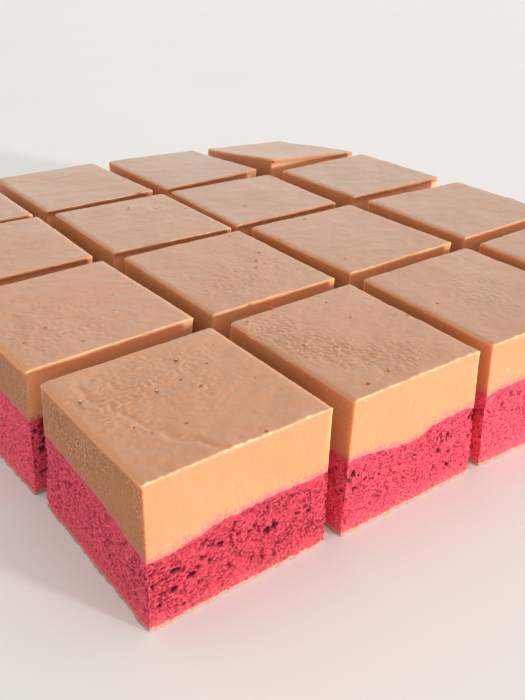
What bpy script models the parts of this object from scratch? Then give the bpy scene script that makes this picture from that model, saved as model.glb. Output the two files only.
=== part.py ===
"""A square slab of opera cake, cut by hand into sixteen squares that still stand together as one slab.

Each square is two solids: a raspberry sponge and the thick layer of milk chocolate mousse that covers it.
The cuts are a little uneven, out of square and slanted, some squares have slid or turned a little, and
the seam between the layers follows the swells of the sponge. The slab stands on z = 0, centred on the
origin.
"""

import math

import bmesh
import bpy
from mathutils import Matrix, Vector

MM = 0.001

# Driving dimensions, in millimetres. (0, 0) is about the slab's near corner, X runs along its right front
# side and Y along its left front side.
SLAB = 200.0
THICKNESS = 37.5
SPONGE = 21.0
LAYER_GAP = 0.3
MOUSSE_EDGE = 0.7

# Where each knife line lies across the slab: at its near end, and at its far end, SLAB away.
# The first and the last line are the slab's own trimmed sides.
COLUMN_LINES = ((-1.0, -0.5), (49.5, 49.0), (96.5, 97.0), (147.5, 147.0), (201.0, 193.5))
ROW_LINES = ((-0.5, -4.5), (49.5, 49.5), (105.5, 99.5), (153.5, 149.5), (202.0, 199.0))

# How far each cut stands open at the top of the mousse: at the slab's near side, where it crosses each of
# the other cuts, and at the far side. The slab's own sides have no gap.
NO_GAP = (0.0, 0.0, 0.0, 0.0, 0.0)
COLUMN_GAPS = (
    NO_GAP,
    (6.5, 6.0, 5.0, 5.0, 4.5),
    (5.5, 3.5, 4.0, 5.0, 8.0),
    (4.5, 9.0, 8.5, 6.0, 5.5),
    NO_GAP,
)
ROW_GAPS = (
    NO_GAP,
    (8.5, 7.5, 6.5, 3.0, 4.5),
    (4.5, 5.5, 4.0, 6.5, 9.5),
    (4.5, 4.0, 5.5, 8.0, 5.0),
    NO_GAP,
)

# How far the foot of each cut lies to one side of its top, because the knife was held at a slant.
COLUMN_SLANTS = (-0.5, -1.6, 1.6, 0.0, 0.7)
ROW_SLANTS = (-0.3, 3.3, -0.4, 0.4, 0.6)

# Both sides of a cut bulge towards its foot, by this much.
FLARE = 0.6

# How far single squares have slid along X and Y, and turned, in degrees, as the knife was pulled out.
SETTLED = {
    (0, 0): (1.5, 1.5, 0.0),
    (0, 1): (0.0, 0.5, 2.0),
    (0, 2): (-1.0, 1.5, -2.0),
    (0, 3): (-0.5, 0.0, -0.5),
    (1, 0): (0.5, 0.5, -0.5),
    (1, 1): (0.0, -0.5, -0.5),
    (1, 2): (0.0, -0.5, -1.0),
    (1, 3): (-0.5, 0.0, -0.5),
    (2, 0): (1.0, -1.0, -3.5),
    (2, 1): (1.5, 0.0, 1.5),
    (2, 2): (-1.5, -0.5, -1.0),
    (2, 3): (-1.5, -0.5, 2.5),
    (3, 0): (0.0, -2.0, 1.0),
    (3, 1): (0.0, 0.0, -1.5),
    (3, 2): (0.0, 0.0, -1.0),
    (3, 3): (0.0, 0.5, 1.5),
}

# Swells and hollows of the sponge's upper face: (x, y, rise, radius).
SPONGE_SWELLS = (
    (0.0, 0.0, -2.9, 11.0),
    (8.0, -3.0, -1.6, 9.0),
    (22.0, -2.0, -0.6, 8.0),
    (44.0, -2.0, -1.0, 9.0),
    (60.0, -2.0, -0.4, 6.0),
    (-1.0, 62.0, -1.2, 14.0),
    (0.0, 75.0, 3.2, 40.0),
    (71.5, 0.0, -2.3, 7.5),
    (94.0, 0.0, -1.2, 5.0),
    (112.0, 0.0, 2.4, 12.0),
    (200.0, 0.0, -1.8, 28.0),
    (200.0, 70.0, 1.8, 35.0),
    (200.0, 200.0, -1.6, 20.0),
    (95.0, 200.0, 2.0, 30.0),
    (0.0, 200.0, -2.2, 25.0),
)
SPONGE_RIPPLE = 0.35
SPONGE_RIPPLE_LENGTHS = (41.0, 53.0)

# The mousse is level but for a dip in the middle of the far side.
MOUSSE_SWELLS = ((147.0, 200.0, -2.0, 30.0), (60.0, 120.0, 0.4, 50.0))

# The far corner square leans back. How far its near, right, left and far corner stand above the rest.
LEANING_SQUARE = (3, 3)
LEANING_RISES = (3.0, -0.5, -0.5, -5.5)

# Quads along each side of a square, and up each layer.
QUADS_ALONG = 8
SPONGE_QUADS_UP = 3
MOUSSE_QUADS_UP = 2
EDGE_SEGMENTS = 2


def clear_scene():
    for old in list(bpy.data.objects):
        bpy.data.objects.remove(old)


def swelling(swells, x, y):
    """Total rise of round swells at a point of the slab."""
    return sum(
        rise * math.exp(-((x - at_x) ** 2 + (y - at_y) ** 2) / radius**2)
        for at_x, at_y, rise, radius in swells
    )


def seam_height(x, y):
    """Height of the sponge's upper face."""
    length_x, length_y = SPONGE_RIPPLE_LENGTHS
    ripple = math.sin(math.tau * x / length_x) * math.cos(math.tau * y / length_y)
    return SPONGE + swelling(SPONGE_SWELLS, x, y) + SPONGE_RIPPLE * ripple


def top_height(square, u, v, x, y):
    """Height of the mousse's upper face, where u and v run from 0 to 1 across the square."""
    height = THICKNESS + swelling(MOUSSE_SWELLS, x, y)
    if square == LEANING_SQUARE:
        near, right, left, far = LEANING_RISES
        height += (1.0 - v) * ((1.0 - u) * near + u * right) + v * ((1.0 - u) * left + u * far)
    return height


def side_offset(gap, slant, outward, height):
    """How far a side lies from its knife line. outward is -1 on a near side and 1 on a far one."""
    depth = max(0.0, (THICKNESS - height) / THICKNESS)
    return slant * depth + outward * (FLARE * depth**2 - gap / 2.0)


def shifted_line(line, shift):
    """A knife line moved sideways, as its start and its slope along the slab."""
    near, far = line
    return near + shift, (far - near) / SLAB


def crossing(column_line, row_line):
    """The point where a column line x = a + p y and a row line y = b + q x meet."""
    (a, p), (b, q) = column_line, row_line
    x = (a + p * b) / (1.0 - p * q)
    return Vector((x, b + q * x))


def corner(square, side_u, side_v, height):
    """A corner of a square at a height. side_u and side_v are 0 on its near sides and 1 on its far sides."""
    column_cut, row_cut = square[0] + side_u, square[1] + side_v
    gap_x, gap_y = COLUMN_GAPS[column_cut][row_cut], ROW_GAPS[row_cut][column_cut]
    shift_x = side_offset(gap_x, COLUMN_SLANTS[column_cut], 2 * side_u - 1, height)
    shift_y = side_offset(gap_y, ROW_SLANTS[row_cut], 2 * side_v - 1, height)
    return crossing(
        shifted_line(COLUMN_LINES[column_cut], shift_x),
        shifted_line(ROW_LINES[row_cut], shift_y),
    )


def across(square, u, v, height):
    """The point of a square at shares u and v of its width and depth, at a height."""
    near = corner(square, 0, 0, height).lerp(corner(square, 1, 0, height), u)
    far = corner(square, 0, 1, height).lerp(corner(square, 1, 1, height), u)
    return near.lerp(far, v)


def all_squares():
    """The (column, row) of every square."""
    return [(c, r) for c in range(len(COLUMN_LINES) - 1) for r in range(len(ROW_LINES) - 1)]


def settled_place(square):
    """Where a square's centre stands, and how far it has turned."""
    slid_x, slid_y, turned = SETTLED.get(square, (0.0, 0.0, 0.0))
    return across(square, 0.5, 0.5, 0.0) + Vector((slid_x, slid_y)), math.radians(turned)


def slab_centre():
    """The middle of the box round the slab's foot."""
    feet = []
    for square in all_squares():
        centre = across(square, 0.5, 0.5, 0.0)
        place, turn = settled_place(square)
        for side_u, side_v in ((0, 0), (0, 1), (1, 0), (1, 1)):
            feet.append(place + Matrix.Rotation(turn, 2) @ (corner(square, side_u, side_v, 0.0) - centre))
    low = Vector((min(foot.x for foot in feet), min(foot.y for foot in feet)))
    high = Vector((max(foot.x for foot in feet), max(foot.y for foot in feet)))
    return (low + high) / 2.0


def unit_block(quads_up):
    """A block from (0, 0, 0) to (1, 1, 1), its faces cut into quads."""
    bm = bmesh.new()
    bmesh.ops.create_cube(bm, size=1.0, matrix=Matrix.Translation((0.5, 0.5, 0.5)))

    def is_level(edge):
        return abs(edge.verts[0].co.z - edge.verts[1].co.z) < 0.01

    upright = [edge for edge in bm.edges if not is_level(edge)]
    bmesh.ops.subdivide_edges(bm, edges=upright, cuts=quads_up - 1, use_grid_fill=True)
    level = [edge for edge in bm.edges if is_level(edge)]
    bmesh.ops.subdivide_edges(bm, edges=level, cuts=QUADS_ALONG - 1, use_grid_fill=True)
    return bm


def split_seam_faces(bm, level):
    """Splits each quad at this level of a unit block the same way, so both sides of the seam bend alike."""
    for face in [face for face in bm.faces if all(vert.co.z == level for vert in face.verts)]:
        nearest = min(face.verts, key=lambda vert: vert.co.x + vert.co.y)
        farthest = max(face.verts, key=lambda vert: vert.co.x + vert.co.y)
        bmesh.utils.face_split(face, nearest, farthest)


def top_edges(bm):
    """The edges round the upper face of a unit block."""
    return [
        edge
        for edge in bm.edges
        if all(vert.co.z == 1.0 for vert in edge.verts)
        and len({face.normal.z > 0.5 for face in edge.link_faces}) == 2
    ]


def shape_layer(bm, square, centre, low, high):
    """Moves a unit block's points onto a layer between the heights low(u, v, x, y) and high(u, v, x, y)."""
    for vert in bm.verts:
        u, v, w = vert.co
        x, y = across(square, u, v, THICKNESS / 2.0)
        z = (1.0 - w) * low(u, v, x, y) + w * high(u, v, x, y)
        x, y = across(square, u, v, z)
        vert.co = Vector((x - centre.x, y - centre.y, z)) * MM


def food(name, colour, roughness):
    """A plain food material."""
    material = bpy.data.materials.new(name)
    material.use_nodes = True
    shader = material.node_tree.nodes["Principled BSDF"]
    shader.inputs["Base Color"].default_value = (*colour, 1.0)
    shader.inputs["Roughness"].default_value = roughness
    shader.inputs["Metallic"].default_value = 0.0
    return material


def add_layer(name, bm, material, square_empty):
    """Turns a finished block into a named object under its square's empty."""
    mesh = bpy.data.meshes.new(name)
    bmesh.ops.recalc_face_normals(bm, faces=bm.faces)
    bm.to_mesh(mesh)
    bm.free()
    mesh.shade_smooth()
    mesh.set_sharp_from_angle(angle=math.radians(40.0))
    mesh.materials.append(material)
    layer = bpy.data.objects.new(name, mesh)
    layer.parent = square_empty
    bpy.context.scene.collection.objects.link(layer)


def add_sponge(square, centre, label, material, square_empty):
    bm = unit_block(SPONGE_QUADS_UP)
    split_seam_faces(bm, 1.0)
    shape_layer(
        bm,
        square,
        centre,
        low=lambda u, v, x, y: 0.0,
        high=lambda u, v, x, y: seam_height(x, y),
    )
    add_layer(f"sponge_{label}", bm, material, square_empty)


def add_mousse(square, centre, label, material, square_empty):
    bm = unit_block(MOUSSE_QUADS_UP)
    split_seam_faces(bm, 0.0)
    rim = top_edges(bm)
    shape_layer(
        bm,
        square,
        centre,
        low=lambda u, v, x, y: seam_height(x, y) + LAYER_GAP,
        high=lambda u, v, x, y: top_height(square, u, v, x, y),
    )
    bmesh.ops.bevel(
        bm,
        geom=rim,
        offset=MOUSSE_EDGE * MM,
        offset_type="OFFSET",
        segments=EDGE_SEGMENTS,
        profile=0.5,
        affect="EDGES",
    )
    add_layer(f"mousse_{label}", bm, material, square_empty)


def build():
    clear_scene()
    sponge = food("raspberry_sponge", (0.60, 0.08, 0.13), 0.85)
    mousse = food("milk_chocolate_mousse", (0.62, 0.40, 0.25), 0.45)
    middle = slab_centre()
    slab = bpy.data.objects.new("slab", None)
    bpy.context.scene.collection.objects.link(slab)
    for square in all_squares():
        label = f"{square[0] + 1}_{square[1] + 1}"
        centre = across(square, 0.5, 0.5, 0.0)
        place, turn = settled_place(square)
        square_empty = bpy.data.objects.new(f"square_{label}", None)
        square_empty.location = Vector((*(place - middle), 0.0)) * MM
        square_empty.rotation_euler = (0.0, 0.0, turn)
        square_empty.parent = slab
        bpy.context.scene.collection.objects.link(square_empty)
        add_sponge(square, centre, label, sponge, square_empty)
        add_mousse(square, centre, label, mousse, square_empty)


build()
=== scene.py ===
"""Sixteen squares of opera cake as they really look: a porous raspberry sponge under a milk chocolate mousse
with a wrinkled skin. Each square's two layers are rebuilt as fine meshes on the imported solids.
Lengths are in millimetres until a mesh is made."""

import math

import bmesh
import bpy
import numpy as np
from mathutils import Matrix, Vector
from mathutils.bvhtree import BVHTree


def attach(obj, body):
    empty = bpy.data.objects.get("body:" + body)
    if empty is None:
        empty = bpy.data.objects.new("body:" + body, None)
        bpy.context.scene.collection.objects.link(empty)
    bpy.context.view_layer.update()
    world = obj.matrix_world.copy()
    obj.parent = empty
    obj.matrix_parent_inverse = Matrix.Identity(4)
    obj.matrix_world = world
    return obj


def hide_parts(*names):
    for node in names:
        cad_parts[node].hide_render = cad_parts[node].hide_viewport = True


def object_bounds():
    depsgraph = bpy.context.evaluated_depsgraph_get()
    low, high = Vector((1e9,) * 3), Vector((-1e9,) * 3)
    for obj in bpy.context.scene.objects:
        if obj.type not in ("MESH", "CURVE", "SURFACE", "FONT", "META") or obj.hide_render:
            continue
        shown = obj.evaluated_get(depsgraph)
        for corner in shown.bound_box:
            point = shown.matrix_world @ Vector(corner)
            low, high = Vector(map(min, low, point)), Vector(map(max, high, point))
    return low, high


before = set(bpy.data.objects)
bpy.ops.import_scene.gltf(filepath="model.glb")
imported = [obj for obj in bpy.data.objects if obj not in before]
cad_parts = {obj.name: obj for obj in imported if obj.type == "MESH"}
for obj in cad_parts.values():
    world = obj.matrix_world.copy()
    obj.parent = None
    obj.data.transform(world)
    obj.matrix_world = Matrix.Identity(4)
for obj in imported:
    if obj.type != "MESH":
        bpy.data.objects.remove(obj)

MM = 0.001
cad_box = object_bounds()

SQUARES = [(column, row) for column in range(1, 5) for row in range(1, 5)]
NEAR_SQUARES = {(1, 1), (1, 2), (2, 1), (2, 2)}
SIDES = ("x0", "x1", "y0", "y1")

# Noise.

TABLE_SIZE = 4096
NOISE_GAIN = 1.6
table_random = np.random.default_rng(11)
GRADIENTS = table_random.normal(size=(TABLE_SIZE, 3))
GRADIENTS /= np.linalg.norm(GRADIENTS, axis=1, keepdims=True)
OFFSETS = table_random.random((TABLE_SIZE, 3))


def pick(cells, seed):
    """A row of the random tables for each cell of a lattice."""
    mixed = cells[:, 0] * 73856093 + cells[:, 1] * 19349663 + cells[:, 2] * 83492791 + seed * 40503
    mixed = (mixed ^ (mixed >> 13)) * 1274126177
    return (mixed ^ (mixed >> 16)) & (TABLE_SIZE - 1)


def noise(points, size, seed):
    """Smooth noise, about -1 to 1, with features about this long. size may differ along x, y and z."""
    spread = points / np.asarray(size, float)
    cells = np.floor(spread).astype(np.int64)
    inside = spread - cells
    fade = inside**3 * (inside * (inside * 6.0 - 15.0) + 10.0)
    total = np.zeros(len(points))
    for step in np.ndindex(2, 2, 2):
        step = np.array(step)
        weight = np.prod(np.where(step, fade, 1.0 - fade), axis=1)
        total += weight * np.einsum("ij,ij->i", GRADIENTS[pick(cells + step, seed)], inside - step)
    return NOISE_GAIN * total


def cells_nearest(points, size, seed):
    """Distance to the nearest and the second nearest of scattered points, in cells of this size."""
    spread = points / size
    cells = np.floor(spread).astype(np.int64)
    first = np.full(len(points), np.inf)
    second = np.full(len(points), np.inf)
    for step in np.ndindex(3, 3, 1):
        step = np.array(step) - (1, 1, 0)
        away = spread - (cells + step) - OFFSETS[pick(cells + step, seed)]
        away[:, 2] = 0.0
        distance = np.linalg.norm(away, axis=1)
        second = np.where(distance < first, first, np.minimum(second, distance))
        first = np.minimum(first, distance)
    return first, second


def smooth(low, high, value):
    """0 below low, 1 above high, and smooth between."""
    share = np.clip((value - low) / (high - low), 0.0, 1.0)
    return share * share * (3.0 - 2.0 * share)


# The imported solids.


def solid(name):
    """A CAD node's points and triangles."""
    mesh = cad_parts[name].data
    mesh.calc_loop_triangles()
    points = np.empty(len(mesh.vertices) * 3)
    mesh.vertices.foreach_get("co", points)
    triangles = np.empty(len(mesh.loop_triangles) * 3, np.int32)
    mesh.loop_triangles.foreach_get("vertices", triangles)
    return points.reshape(-1, 3) / MM, triangles.reshape(-1, 3)


def section(points, triangles, height):
    """Where a solid's edges cross a height."""
    edges = np.concatenate([triangles[:, pair] for pair in ([0, 1], [1, 2], [2, 0])])
    start, end = points[edges[:, 0]], points[edges[:, 1]]
    crosses = (start[:, 2] - height) * (end[:, 2] - height) < 0.0
    start, end = start[crosses], end[crosses]
    share = (height - start[:, 2]) / (end[:, 2] - start[:, 2])
    return (start + share[:, None] * (end - start))[:, :2]


CORNERS = ((0, 0), (1, 0), (0, 1), (1, 1))

# Heights clear of the seam between the layers.
SECTION_HEIGHTS = np.array((1.0, 4.0, 7.0, 10.0, 13.0, 16.0, 26.0, 27.5, 29.0, 30.5))


def corner_lines(sponge, mousse):
    """Each corner's x and y as quadratics of the height, fitted to both layers of a square."""
    found = {corner: [] for corner in CORNERS}
    for height in SECTION_HEIGHTS:
        cut = np.concatenate((section(*sponge, height), section(*mousse, height)))
        for corner in CORNERS:
            towards = cut @ (2.0 * np.array(corner) - 1.0)
            found[corner].append(cut[towards.argmax()])
    lines = {}
    for corner, points in found.items():
        points = np.array(points)
        lines[corner] = [np.polyfit(SECTION_HEIGHTS, points[:, axis], 2) for axis in (0, 1)]
    return lines


def across(lines, u, v, z):
    """Points at shares u and v of a square's width and depth, at height z."""
    total = 0.0
    for corner, fits in lines.items():
        weight = (u if corner[0] else 1.0 - u) * (v if corner[1] else 1.0 - v)
        place = np.stack([np.polyval(fit, z) for fit in fits], axis=-1)
        total = total + weight[..., None] * place
    return total


# Knots along each side of a layer's upper face, how far the outermost ones are moved in, and a height
# above the cake to look down from.
KNOTS = 9
KNOT_INSET = 0.03
LOOKOUT = 99.0

# Heights near which the seam and the top lie.
SEAM_ABOUT = 21.0
TOP_ABOUT = 36.0


def height_table(layer, lines, about):
    """Heights of a layer's upper face on a grid of knots, with one more knot beyond each side."""
    points, triangles = layer
    tree = BVHTree.FromPolygons([Vector(point) for point in points], triangles.tolist())
    shares = np.clip(np.linspace(0.0, 1.0, KNOTS), KNOT_INSET, 1.0 - KNOT_INSET)
    table = np.empty((KNOTS, KNOTS))
    for i, u in enumerate(shares):
        for j, v in enumerate(shares):
            x, y = across(lines, np.array(u), np.array(v), about)
            table[i, j] = tree.ray_cast(Vector((x, y, LOOKOUT)), Vector((0.0, 0.0, -1.0)))[0].z
    table = np.pad(table, 1, mode="edge")
    table[0], table[-1] = 2 * table[1] - table[2], 2 * table[-2] - table[-3]
    table[:, 0], table[:, -1] = 2 * table[:, 1] - table[:, 2], 2 * table[:, -2] - table[:, -3]
    return table


def knot_weights(share):
    """How much each knot counts at these shares: a smooth curve through the knots."""
    place = np.clip(share, 0.0, 1.0) * (KNOTS - 1)
    first = np.minimum(place.astype(int), KNOTS - 2)
    t = (place - first)[:, None]
    parts = np.hstack((
        -t + 2 * t**2 - t**3,
        2 - 5 * t**2 + 3 * t**3,
        t + 4 * t**2 - 3 * t**3,
        t**3 - t**2,
    )) / 2.0
    weights = np.zeros((len(share), KNOTS + 2))
    for step in range(4):
        weights[np.arange(len(share)), first + step] = parts[:, step]
    return weights


def surface(table, u, v):
    """Heights of a table's smooth surface at shares u and v."""
    return np.einsum("ni,ij,nj->n", knot_weights(u), table, knot_weights(v))


# Blocks: fine rounded boxes that take a layer's shape.

AXES = {"x": 0, "y": 1, "z": 2}
ALONG = {"x": (1, 2), "y": (0, 2), "z": (0, 1)}


def spaced(length, spans, rounding):
    """Shares of a length: closely spaced over the rounding at both ends, evenly between."""
    ends = rounding * np.array((0.0, 0.4, 0.8, 1.25))
    middle = np.linspace(ends[-1], length - ends[-1], spans - 5)
    return np.concatenate((ends[:-1], middle, length - ends[-2::-1])) / length


def face_polygons(counts, steps, face):
    """Polygons of one face of a block, as lists of point keys. A cell whose neighbour round the edge is
    finer takes in the neighbour's points."""
    axis, far = AXES[face[0]], int(face[1])
    a, b = ALONG[face[0]]
    stride = ((counts[1] + 1) * (counts[2] + 1), counts[2] + 1, 1)
    origin = far * counts[axis] * stride[axis]
    step_a, step_b = steps[face][a], steps[face][b]
    names = "xyz"
    edge_a = [min(step_a, steps[f"{names[b]}{side}"][a]) for side in (0, 1)]
    edge_b = [min(step_b, steps[f"{names[a]}{side}"][b]) for side in (0, 1)]
    starts_a, starts_b = np.meshgrid(
        np.arange(0, counts[a], step_a), np.arange(0, counts[b], step_b), indexing="ij"
    )
    starts_a, starts_b = starts_a.ravel(), starts_b.ravel()
    on_edge = np.zeros(len(starts_a), bool)
    on_edge |= (starts_b == 0) & (edge_a[0] < step_a)
    on_edge |= (starts_b == counts[b] - step_b) & (edge_a[1] < step_a)
    on_edge |= (starts_a == 0) & (edge_b[0] < step_b)
    on_edge |= (starts_a == counts[a] - step_a) & (edge_b[1] < step_b)
    outward = (far == 1) ^ (axis == 1)

    def key(at_a, at_b):
        return origin + at_a * stride[a] + at_b * stride[b]

    plain_a, plain_b = starts_a[~on_edge], starts_b[~on_edge]
    quads = np.stack(
        (
            key(plain_a, plain_b),
            key(plain_a + step_a, plain_b),
            key(plain_a + step_a, plain_b + step_b),
            key(plain_a, plain_b + step_b),
        ),
        axis=1,
    )
    if not outward:
        quads = quads[:, ::-1]
    others = []
    for at_a, at_b in zip(starts_a[on_edge].tolist(), starts_b[on_edge].tolist()):
        end_a, end_b = at_a + step_a, at_b + step_b
        near_a = edge_a[0] if at_b == 0 else step_a
        far_a = edge_a[1] if end_b == counts[b] else step_a
        near_b = edge_b[0] if at_a == 0 else step_b
        far_b = edge_b[1] if end_a == counts[a] else step_b
        loop = [key(i, at_b) for i in range(at_a, end_a, near_a)]
        loop += [key(end_a, j) for j in range(at_b, end_b, far_b)]
        loop += [key(i, end_b) for i in range(end_a, at_a, -far_a)]
        loop += [key(at_a, j) for j in range(end_b, at_b, -near_b)]
        others.append(loop if outward else loop[::-1])
    return quads, others


def block(counts, steps):
    """A block's polygons over its whole surface, and the lattice place of every point."""
    corners, sizes = [], []
    for face in ("x0", "x1", "y0", "y1", "z0", "z1"):
        quads, others = face_polygons(counts, steps, face)
        corners.append(quads.ravel())
        sizes.append(np.full(len(quads), 4))
        corners += [np.array(loop) for loop in others]
        sizes.append(np.array([len(loop) for loop in others], int))
    keys, corners = np.unique(np.concatenate(corners), return_inverse=True)
    lattice = np.stack(np.unravel_index(keys, [count + 1 for count in counts]), axis=1)
    return lattice, corners.ravel(), np.concatenate(sizes)


def rounded(places, size, radius, open_end):
    """Places on a sharp block moved onto a rounded one, and which way each one faces. open_end is the end of
    the height, 0 or 1, that keeps its sharp edge because the other layer meets it there."""
    low = np.full(3, radius)
    high = np.asarray(size) - radius
    core = np.clip(places, low, high)
    if open_end == 0:
        core[:, 2] = np.minimum(places[:, 2], high[2])
    else:
        core[:, 2] = np.maximum(places[:, 2], low[2])
    out = places - core
    length = np.linalg.norm(out, axis=1, keepdims=True)
    facing = out / np.maximum(length, 1e-9)
    moved = np.where(length > 1e-6, core + radius * facing, places)
    return moved, facing


def is_outer(square, side):
    """Whether a side of a square is one of the slab's own sides."""
    return square["xy".index(side[0])] == (4 if side[1] == "1" else 1)


def cell_steps(square, bottom, top):
    """How many lattice points each face's cells span. The slab's own sides are finest, then the sides that
    face the camera across a cut."""
    steps = {"z0": (bottom,) * 3, "z1": (top,) * 3}
    for side in SIDES:
        step = 1 if is_outer(square, side) else (2 if side[1] == "0" else 4)
        steps[side] = (step,) * 3
    return steps


def fine_block(size, counts, steps, rounding, open_end):
    """A rounded block: the shares of its lattice, each point's lattice place, its polygons, and each point's
    place and facing."""
    shares = [spaced(length, count, rounding) for length, count in zip(size, counts)]
    lattice, corners, polygon_sizes = block(counts, steps)
    sharp = np.stack([shares[axis][lattice[:, axis]] * size[axis] for axis in range(3)], axis=1)
    places, facing = rounded(sharp, size, rounding, open_end)
    return shares, lattice, (corners, polygon_sizes), places, facing


def hidden_cap(lattice, facing, level):
    """Which points lie on the flat face that the other layer covers."""
    return (lattice[:, 2] == level) & (np.abs(facing).sum(axis=1) < 0.1)


def add_piece(name, mesh, attributes):
    """Adds a mesh to the scene as a smooth piece whose points carry these attributes."""
    mesh.shade_smooth()
    for key, values in attributes.items():
        data = mesh.attributes.new(key, "FLOAT", "POINT").data
        data.foreach_set("value", np.broadcast_to(values, len(mesh.vertices)).astype(np.float32))
    piece = bpy.data.objects.new(name, mesh)
    bpy.context.scene.collection.objects.link(piece)
    return piece


def make_mesh(name, points, corners, sizes, attributes):
    """A smooth-shaded mesh object from polygons given as one list of corners and one of sizes."""
    mesh = bpy.data.meshes.new(name)
    mesh.vertices.add(len(points))
    mesh.vertices.foreach_set("co", (points * MM).astype(np.float32).ravel())
    mesh.loops.add(len(corners))
    mesh.loops.foreach_set("vertex_index", corners.astype(np.int32))
    mesh.polygons.add(len(sizes))
    starts = np.concatenate(([0], np.cumsum(sizes)[:-1])).astype(np.int32)
    mesh.polygons.foreach_set("loop_start", starts)
    mesh.update(calc_edges=True)
    mesh.validate()
    return add_piece(name, mesh, attributes)


# The seam between the layers.


def seam_fray(xy):
    """How far the torn edge between the two layers strays up and down."""
    points = np.column_stack((xy, np.zeros(len(xy))))
    return (
        0.42 * noise(points, 3.4, 41)
        + 0.28 * noise(points, 1.3, 42)
        + 0.24 * noise(points, 0.6, 43)
    )


# Sponge.

# The size that the lattice and the pore maps are laid out on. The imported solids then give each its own.
SPONGE_SIZE = np.array((47.0, 47.0, 20.0))
SPONGE_ROUNDING = 0.35

# Spans along the width, the depth and the height, for near squares and for the others.
SPONGE_SPANS = {True: (192, 192, 72), False: (132, 132, 48)}

# Lattice points that the cells of the lower and the upper face span.
SPONGE_CAP_STEPS = (12, 12)

# Pores on the slab's own sides and inside the cuts: usual radius, spread and largest radius.
OUTER_PORES = (0.25, 0.42, 0.9)
INNER_PORES = (0.55, 0.35, 1.1)
INNER_DENSITY = 0.12
LARGE_HOLE_DEPTH = 1.5

# How open the crumb is on the cut faces: most in the near square, where the knife tore it.
POROSITY = {(1, 1): 1.1, (2, 1): 0.6}
USUAL_POROSITY = 0.2

# Sides whose pores crowd towards their start, and how much.
CROWDING = {((1, 1), "y0"): 1.5}


def pore_map(along, up, rng, count, sizes, warp, crowding=1.0):
    """Depths of scattered pores over a side whose points lie at along and up. The pores crowd towards the
    start of the side where crowding is above 1."""
    usual, spread, largest = sizes
    depths = np.zeros((len(along), len(up)))
    top = up[-1]
    for _ in range(count):
        at = along[-1] * rng.random() ** crowding
        height = top * rng.beta(1.45, 1.3)
        radius = usual * math.exp(spread * rng.normal())
        radius = min(radius, largest) * (0.7 + 0.4 * height / top)
        stretch = rng.uniform(1.0, 1.7)
        turn = rng.normal(0.0, 0.5)
        deep = radius * rng.uniform(0.8, 1.5)
        radii = (radius * stretch, radius / stretch)
        add_pore(depths, along, up, (at, height), radii, turn, deep, warp)
    return depths


def add_pore(depths, along, up, place, radii, turn, deep, warp):
    """Deepens a side's depth map by one pore."""
    reach = 1.7 * max(radii) + 0.3
    i0, i1 = np.searchsorted(along, (place[0] - reach, place[0] + reach))
    k0, k1 = np.searchsorted(up, (place[1] - reach, place[1] + reach))
    if i0 == i1 or k0 == k1:
        return
    window = np.s_[i0:i1, k0:k1]
    x = along[i0:i1, None] - place[0] + warp[0][window]
    z = up[None, k0:k1] - place[1] + warp[1][window]
    c, s = math.cos(turn), math.sin(turn)
    q = ((c * x + s * z) / radii[0]) ** 2 + ((c * z - s * x) / radii[1]) ** 2
    depths[window] = np.maximum(depths[window], deep * np.sqrt(np.clip(1.0 - q, 0.0, 1.0)))


# Single large holes in the cut sponge that catch the eye, by square and side: share along the side,
# height above the base, width and height of the hole.
LARGE_HOLES = {
    (1, 1): {
        "y0": (
            (0.150, 14.2, 2.0, 0.9),
            (0.225, 10.6, 2.0, 1.0),
            (0.136, 9.5, 1.1, 1.1),
            (0.025, 12.3, 1.0, 0.7),
            (0.075, 13.4, 0.9, 0.6),
            (0.275, 13.6, 1.2, 0.5),
            (0.313, 15.4, 0.9, 0.5),
            (0.380, 14.3, 1.5, 0.7),
            (0.685, 12.0, 1.5, 0.9),
            (0.052, 6.6, 0.9, 0.8),
            (0.884, 11.8, 0.9, 0.5),
            (0.477, 14.6, 1.0, 0.5),
        ),
    },
    (2, 1): {"y0": ((0.052, 16.0, 1.6, 1.0), (0.070, 11.9, 1.3, 1.0), (0.798, 5.8, 1.3, 0.9))},
}


# Painted light: how much paler each face inside a cut is, in the sponge and in the mousse, and the slab's
# own -X face (outer), standing in for the light that reaches the cuts and the shaded side. The slab's other
# sides get none.
SPONGE_PAINTED_LIGHT = {"x0": 0.95, "x1": 0.9, "y0": 0.8, "y1": 0.9, "outer": 0.85}
MOUSSE_PAINTED_LIGHT = {"x0": 0.05, "x1": 0.3, "y0": 0.55, "y1": 0.6, "outer": 0.0}


def painted_light_share(square, facing, faces):
    """How much painted light lightens each point, from the face it lies on."""
    share = np.zeros(len(facing))
    for side in SIDES:
        towards = facing[:, AXES[side[0]]] * (1.0 if side[1] == "1" else -1.0)
        strength = faces[side]
        if is_outer(square, side):
            strength = faces["outer"] if side == "x0" else 0.0
        share = np.maximum(share, strength * np.clip(towards, 0.0, 1.0))
    return share


def side_warp(line, up, side, seed):
    """Two fields that bend the outlines of a side's pores."""
    grid = np.stack(np.meshgrid(line, up, indexing="ij"), axis=-1).reshape(-1, 2)
    grid = np.column_stack((grid, np.full(len(grid), 7.0 * SIDES.index(side))))
    return [
        (0.45 * noise(grid, 1.1, seed + k) + 0.2 * noise(grid, 0.5, seed + 2 + k)).reshape(len(line), -1)
        for k in (0, 1)
    ]


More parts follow.
